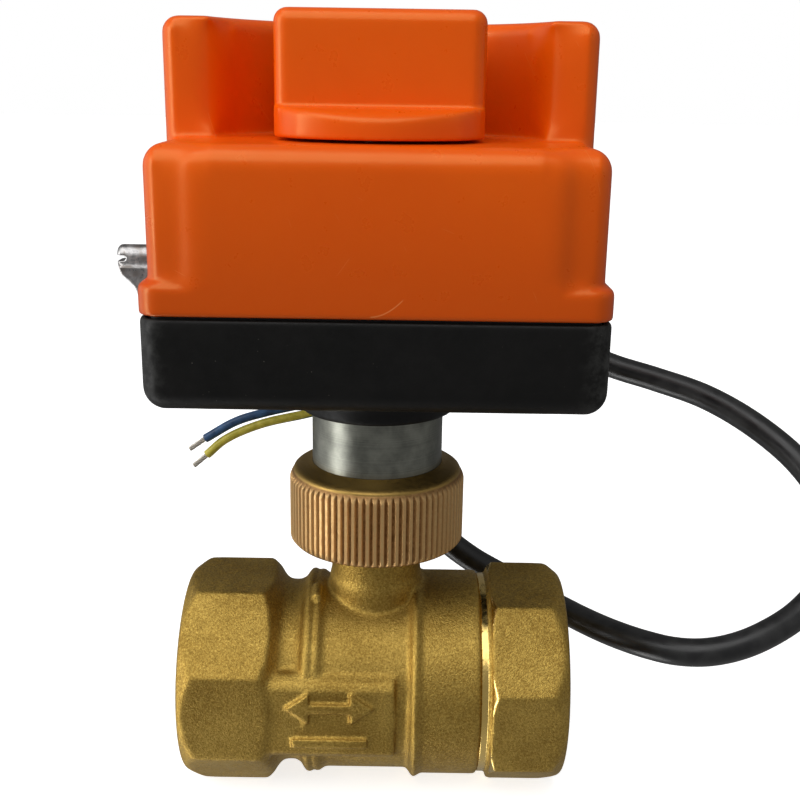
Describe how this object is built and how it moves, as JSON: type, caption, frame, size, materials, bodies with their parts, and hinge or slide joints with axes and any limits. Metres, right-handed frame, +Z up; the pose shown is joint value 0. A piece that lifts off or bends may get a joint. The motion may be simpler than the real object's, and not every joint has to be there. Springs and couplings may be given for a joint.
{
  "type": "motorised zone valve",
  "caption": "Two-piece brass ball valve with a knurled union nut and a geared actuator in an orange and black housing with a position knob and a short cable.",
  "frame": {"origin": "centre of the ball, where the pipe axis crosses the stem axis", "axes": "+X along the pipe towards the cap end, +Y to the back of the actuator where the cable leaves, +Z up the stem to the knob"},
  "size_m": [0.1117, 0.0678, 0.1141],
  "materials": {
    "brass": "sand-blasted cast brass",
    "nut_brass": "turned and knurled brass",
    "steel": "turned steel",
    "bright": "plated steel",
    "orange": "moulded orange plastic, satin gloss",
    "black": "moulded black plastic",
    "rubber": "black rubber",
    "ptfe": "white seat plastic",
    "acetal": "off-white acetal",
    "switch": "dark switch housing",
    "board": "circuit board",
    "jacket": "black cable jacket",
    "blue": "blue core insulation",
    "brown": "brown core insulation",
    "earth": "yellow and green core insulation",
    "copper": "tinned copper strands"
  },
  "bodies": {
    "valve": {"valve_body": "brass", "end_cap": "brass", "end_cap_seal": "ptfe", "seat_inlet": "ptfe", "seat_outlet": "ptfe", "stem_washer": "ptfe", "neck_sleeve": "steel", "snap_ring": "bright", "gear_b_pin": "bright", "gear_a_pin": "bright", "gear_plate": "steel", "motor": "bright", "switch_open": "switch", "switch_shut": "switch", "capacitor": "orange", "circuit_board": "board", "base": "black", "cover": "orange", "cover_seal": "rubber", "shaft_seal": "rubber", "cover_screw_1": "bright", "cover_screw_2": "bright", "cover_screw_3": "bright", "cover_screw_4": "bright", "plate_screw_1": "bright", "plate_screw_2": "bright", "plate_screw_3": "bright", "cable_gland": "rubber", "cable": "jacket", "core_blue": "blue", "tip_blue": "copper", "core_earth": "earth", "tip_earth": "copper", "core_brown": "brown", "tip_brown": "copper"},
    "drive": {"ball": "bright", "valve_stem": "brass", "drive_coupler": "steel", "output_shaft": "bright", "output_gear": "acetal", "cam_open": "acetal", "cam_shut": "acetal", "knob": "orange", "stem_oring_lower": "rubber", "stem_oring_upper": "rubber"},
    "gear_b": {"gear_b": "acetal"},
    "gear_a": {"gear_a": "acetal"},
    "rotor": {"motor_pinion": "bright"},
    "nut": {"union_nut": "nut_brass"},
    "lever": {"release_lever": "steel", "release_crank": "acetal"},
    "plunger_open": {"plunger_open": "acetal"},
    "plunger_shut": {"plunger_shut": "acetal"}
  },
  "joints": [
    {"name": "valve_turn", "type": "hinge", "parent": "valve", "child": "drive", "pos_m": [0, 0, 0.09], "axis": [0, 0, 1], "range_deg": [-90, 0]},
    {"name": "gear_b_spin", "type": "hinge", "parent": "valve", "child": "gear_b", "pos_m": [-0.0135, 0.009, 0.055], "axis": [0, 0, 1], "range_deg": [-1, 397]},
    {"name": "gear_a_spin", "type": "hinge", "parent": "valve", "child": "gear_a", "pos_m": [-0.00095, 0.01308, 0.058], "axis": [0, 0, 1], "range_deg": [-1348, 2]},
    {"name": "rotor_spin", "type": "hinge", "parent": "valve", "child": "rotor", "pos_m": [0.01101, 0.01203, 0.06], "axis": [0, 0, 1], "range_deg": [-4, 4044]},
    {"name": "nut_turn", "type": "hinge", "parent": "valve", "child": "nut", "pos_m": [0, 0, 0.028], "axis": [0, 0, 1], "range_deg": [0, 1080]},
    {"name": "lever_release", "type": "hinge", "parent": "valve", "child": "lever", "pos_m": [-0.03, -0.004, 0.0649], "axis": [1, 0, 0], "range_deg": [0, 90]},
    {"name": "plunger_open_press", "type": "slide", "parent": "valve", "child": "plunger_open", "axis": [-1, 0, 0], "range_m": [0, 0.0008], "stiffness_N_per_m": 200, "springref_m": -0.0005},
    {"name": "plunger_shut_press", "type": "slide", "parent": "valve", "child": "plunger_shut", "axis": [-1, 0, 0], "range_m": [0, 0.0008], "stiffness_N_per_m": 200, "springref_m": -0.0005}
  ],
  "couplings": [
    {"joint": "gear_b_spin", "follows": "valve_turn", "ratio": -4.4},
    {"joint": "gear_a_spin", "follows": "valve_turn", "ratio": 14.96},
    {"joint": "rotor_spin", "follows": "valve_turn", "ratio": -44.88}
  ]
}
